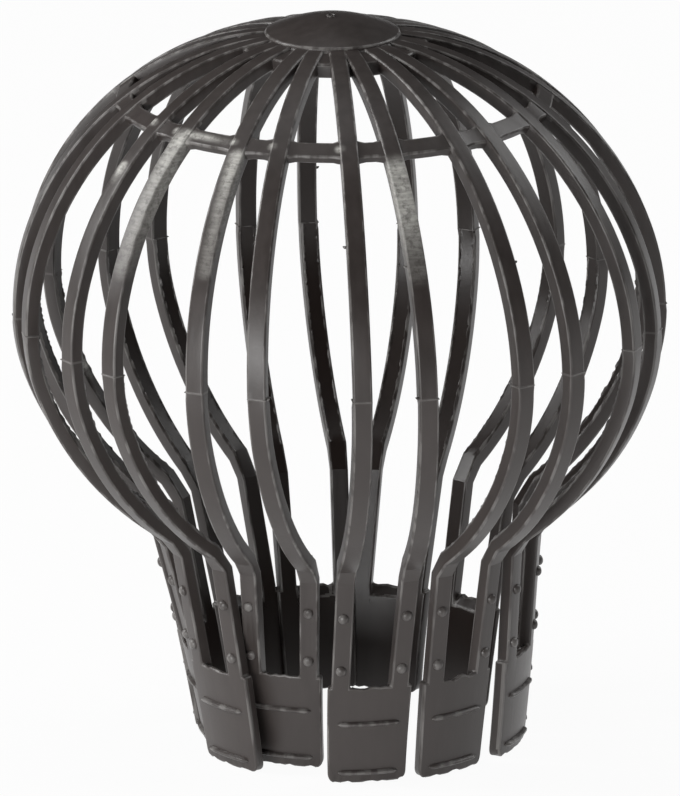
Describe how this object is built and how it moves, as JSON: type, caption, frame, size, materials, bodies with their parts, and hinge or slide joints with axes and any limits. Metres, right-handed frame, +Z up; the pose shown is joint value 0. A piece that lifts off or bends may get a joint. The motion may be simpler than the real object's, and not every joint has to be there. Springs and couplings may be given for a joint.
{
  "type": "downpipe leaf filter",
  "caption": "Balloon-shaped leaf filter for a downpipe: a one-piece plastic cage of curved ribs under a low domed cap, with a tapered neck of springy, ridged fingers that push into the pipe.",
  "frame": {"origin": "centre of the circle of finger ends, on the plane the filter stands on", "axes": "+Z up along the cage's axis from the neck to the cap; +X and -Y through the middle of a finger"},
  "size_m": [0.1198, 0.1198, 0.1376],
  "materials": {
    "black_plastic": "satin moulded polypropylene, lightly scuffed"
  },
  "bodies": {
    "root": {"leaf_filter": "black_plastic"}
  },
  "joints": []
}
